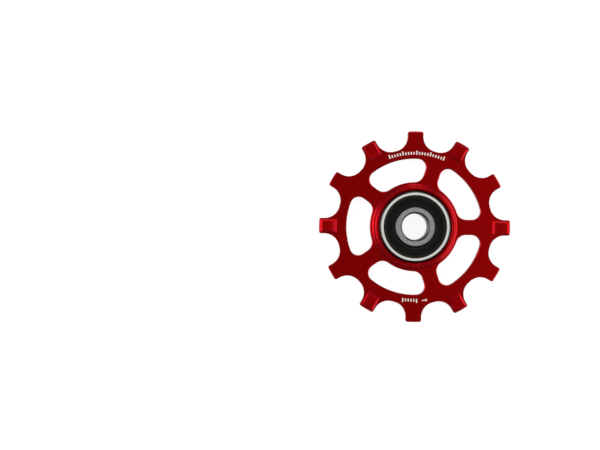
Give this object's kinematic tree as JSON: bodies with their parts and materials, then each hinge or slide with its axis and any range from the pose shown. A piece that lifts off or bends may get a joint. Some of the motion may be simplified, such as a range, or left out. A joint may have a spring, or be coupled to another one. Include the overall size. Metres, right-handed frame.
{
  "type": "derailleur jockey wheel",
  "caption": "Toothed guide wheel for a rear derailleur, with alternate wide and narrow teeth and a sealed ball bearing.",
  "frame": {"origin": "centre of the bore, at the middle of the bearing's width", "axes": "+Z along the wheel's axis, out of the front face; +X through a wide tooth and a spoke"},
  "size_m": [0.0506, 0.0506, 0.006],
  "materials": {
    "anodised_aluminium": "red anodised, satin",
    "bearing_steel": "ground bright",
    "ground_steel": "ground, satin",
    "seal_rubber": "moulded, matt",
    "pressed_steel": "pressed, bright",
    "ball_ceramic": "lapped, glossy"
  },
  "bodies": {
    "inner_ring": {"bearing_inner_ring": "ground_steel"},
    "wheel": {"toothed_wheel": "anodised_aluminium", "bearing_outer_ring": "bearing_steel", "seal_front": "seal_rubber", "seal_back": "seal_rubber"},
    "cage": {"cage_front": "pressed_steel", "cage_back": "pressed_steel", "rivet_1": "pressed_steel", "rivet_2": "pressed_steel", "rivet_3": "pressed_steel", "rivet_4": "pressed_steel", "rivet_5": "pressed_steel", "rivet_6": "pressed_steel", "rivet_7": "pressed_steel"},
    "ball_1_body": {"ball_1": "ball_ceramic"},
    "ball_2_body": {"ball_2": "ball_ceramic"},
    "ball_3_body": {"ball_3": "ball_ceramic"},
    "ball_4_body": {"ball_4": "ball_ceramic"},
    "ball_5_body": {"ball_5": "ball_ceramic"},
    "ball_6_body": {"ball_6": "ball_ceramic"},
    "ball_7_body": {"ball_7": "ball_ceramic"}
  },
  "joints": [
    {"name": "wheel_spin", "type": "hinge", "parent": "inner_ring", "child": "wheel", "pos_m": [0, 0, 0], "axis": [0, 0, 1], "continuous": true},
    {"name": "cage_orbit", "type": "hinge", "parent": "inner_ring", "child": "cage", "pos_m": [0, 0, 0], "axis": [0, 0, 1], "continuous": true},
    {"name": "ball_1_roll", "type": "hinge", "parent": "cage", "child": "ball_1_body", "pos_m": [0.0065, 0, 0], "axis": [0, 0, 1], "continuous": true},
    {"name": "ball_2_roll", "type": "hinge", "parent": "cage", "child": "ball_2_body", "pos_m": [0.00405, 0.00508, 0], "axis": [0, 0, 1], "continuous": true},
    {"name": "ball_3_roll", "type": "hinge", "parent": "cage", "child": "ball_3_body", "pos_m": [-0.00145, 0.00634, 0], "axis": [0, 0, 1], "continuous": true},
    {"name": "ball_4_roll", "type": "hinge", "parent": "cage", "child": "ball_4_body", "pos_m": [-0.00586, 0.00282, 0], "axis": [0, 0, 1], "continuous": true},
    {"name": "ball_5_roll", "type": "hinge", "parent": "cage", "child": "ball_5_body", "pos_m": [-0.00586, -0.00282, 0], "axis": [0, 0, 1], "continuous": true},
    {"name": "ball_6_roll", "type": "hinge", "parent": "cage", "child": "ball_6_body", "pos_m": [-0.00145, -0.00634, 0], "axis": [0, 0, 1], "continuous": true},
    {"name": "ball_7_roll", "type": "hinge", "parent": "cage", "child": "ball_7_body", "pos_m": [0.00405, -0.00508, 0], "axis": [0, 0, 1], "continuous": true}
  ],
  "couplings": [
    {"joint": "cage_orbit", "follows": "wheel_spin", "ratio": 0.63462},
    {"joint": "ball_1_roll", "follows": "wheel_spin", "ratio": 1.7225},
    {"joint": "ball_2_roll", "follows": "wheel_spin", "ratio": 1.7225},
    {"joint": "ball_3_roll", "follows": "wheel_spin", "ratio": 1.7225},
    {"joint": "ball_4_roll", "follows": "wheel_spin", "ratio": 1.7225},
    {"joint": "ball_5_roll", "follows": "wheel_spin", "ratio": 1.7225},
    {"joint": "ball_6_roll", "follows": "wheel_spin", "ratio": 1.7225},
    {"joint": "ball_7_roll", "follows": "wheel_spin", "ratio": 1.7225}
  ]
}
